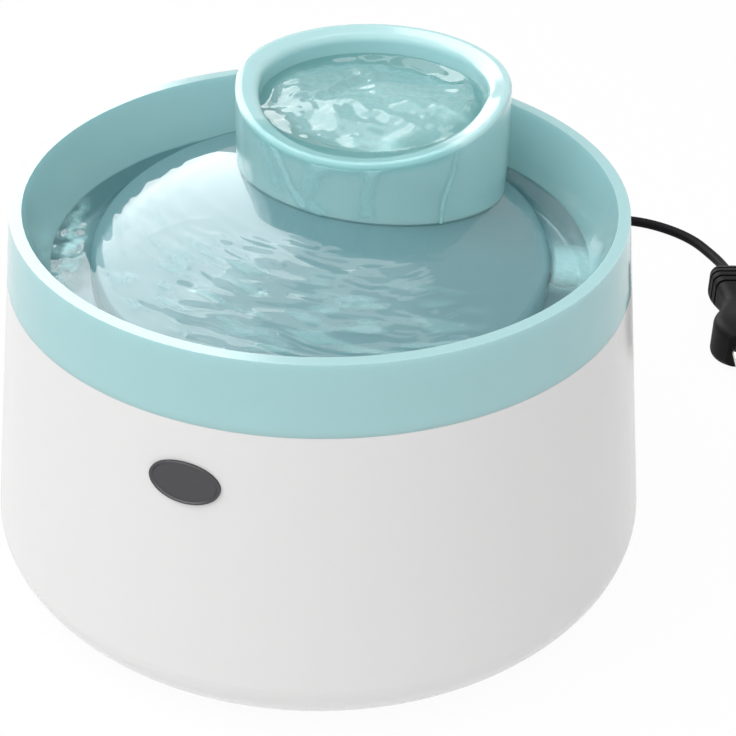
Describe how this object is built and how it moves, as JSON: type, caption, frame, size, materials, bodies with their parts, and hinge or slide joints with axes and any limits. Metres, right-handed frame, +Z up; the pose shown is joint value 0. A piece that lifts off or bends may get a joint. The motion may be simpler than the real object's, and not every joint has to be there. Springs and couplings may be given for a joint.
{
  "type": "pet water fountain",
  "caption": "Round tapered pet water fountain with a lift-off drinking bowl, an overflowing cup tower, a slide-in filter, a submerged pump with a spinning impeller and a mains lead.",
  "frame": {"origin": "centre of the round body, on the surface that the four feet stand on", "axes": "+Z up along the body's axis, -Y towards the drinking side that the picture shows in front, +X to the right of it"},
  "size_m": [0.3122, 0.3463, 0.1605],
  "materials": {
    "white_shell": "smooth glossy moulding",
    "mint_plastic": "glossy pale mint green moulding",
    "foot_rubber": "soft grey rubber",
    "lead_black": "black flexible PVC, slight sheen",
    "gland_rubber": "black rubber",
    "plug_black": "black moulded PVC",
    "pin_metal": "nickel plated brass",
    "tie_black": "black plastic tie",
    "chamber_plastic": "white moulding",
    "filter_plastic": "pale grey moulding",
    "foam": "open cell foam",
    "carbon_cloth": "cloth filled with charcoal",
    "pump_plastic": "black moulding",
    "slider_plastic": "grey moulding",
    "cup_rubber": "clear soft rubber",
    "bush_rubber": "black rubber",
    "silicone": "milky silicone",
    "core_steel": "stacked electrical steel",
    "copper_wire": "enamelled copper wire",
    "resin": "cast epoxy",
    "ferrite": "ground ferrite",
    "shaft_steel": "ground pin",
    "impeller_plastic": "white moulding"
  },
  "bodies": {
    "base": {"base_shell": "white_shell", "rubber_feet": "foot_rubber", "cord_grommet": "lead_black", "filter_chamber": "chamber_plastic", "pump_body": "pump_plastic", "suction_cups": "cup_rubber", "stator_core": "core_steel", "stator_coil": "copper_wire", "resin_fill": "resin", "rotor_shaft": "shaft_steel", "front_bush": "bush_rubber", "rear_bush": "bush_rubber", "impeller_cover": "pump_plastic", "intake_grille": "pump_plastic", "cord_gland": "gland_rubber", "inner_cord": "lead_black", "riser_tube": "silicone", "cord_lead": "lead_black", "cord_coil": "lead_black", "cord_tie": "tie_black", "cord_tail": "lead_black", "plug_body": "plug_black", "plug_pins": "pin_metal"},
    "bowl": {"drinking_bowl": "mint_plastic", "fountain_tower": "mint_plastic", "riser_seal": "silicone"},
    "filter": {"filter_frame": "filter_plastic", "filter_foam": "foam", "carbon_pad": "carbon_cloth"},
    "regulator": {"flow_regulator": "slider_plastic"},
    "rotor": {"rotor_magnet": "ferrite", "impeller": "impeller_plastic"}
  },
  "joints": [
    {"name": "bowl_lift", "type": "slide", "parent": "base", "child": "bowl", "axis": [0, 0, 1], "range_m": [0, 0.08]},
    {"name": "filter_lift", "type": "slide", "parent": "base", "child": "filter", "axis": [0, 0, 1], "range_m": [0, 0.043]},
    {"name": "regulator_slide", "type": "slide", "parent": "base", "child": "regulator", "axis": [1, 0, 0], "range_m": [0, 0.009]},
    {"name": "impeller_spin", "type": "hinge", "parent": "base", "child": "rotor", "pos_m": [0.0172, 0.0345, 0.0295], "axis": [0, 1, 0], "continuous": true}
  ]
}
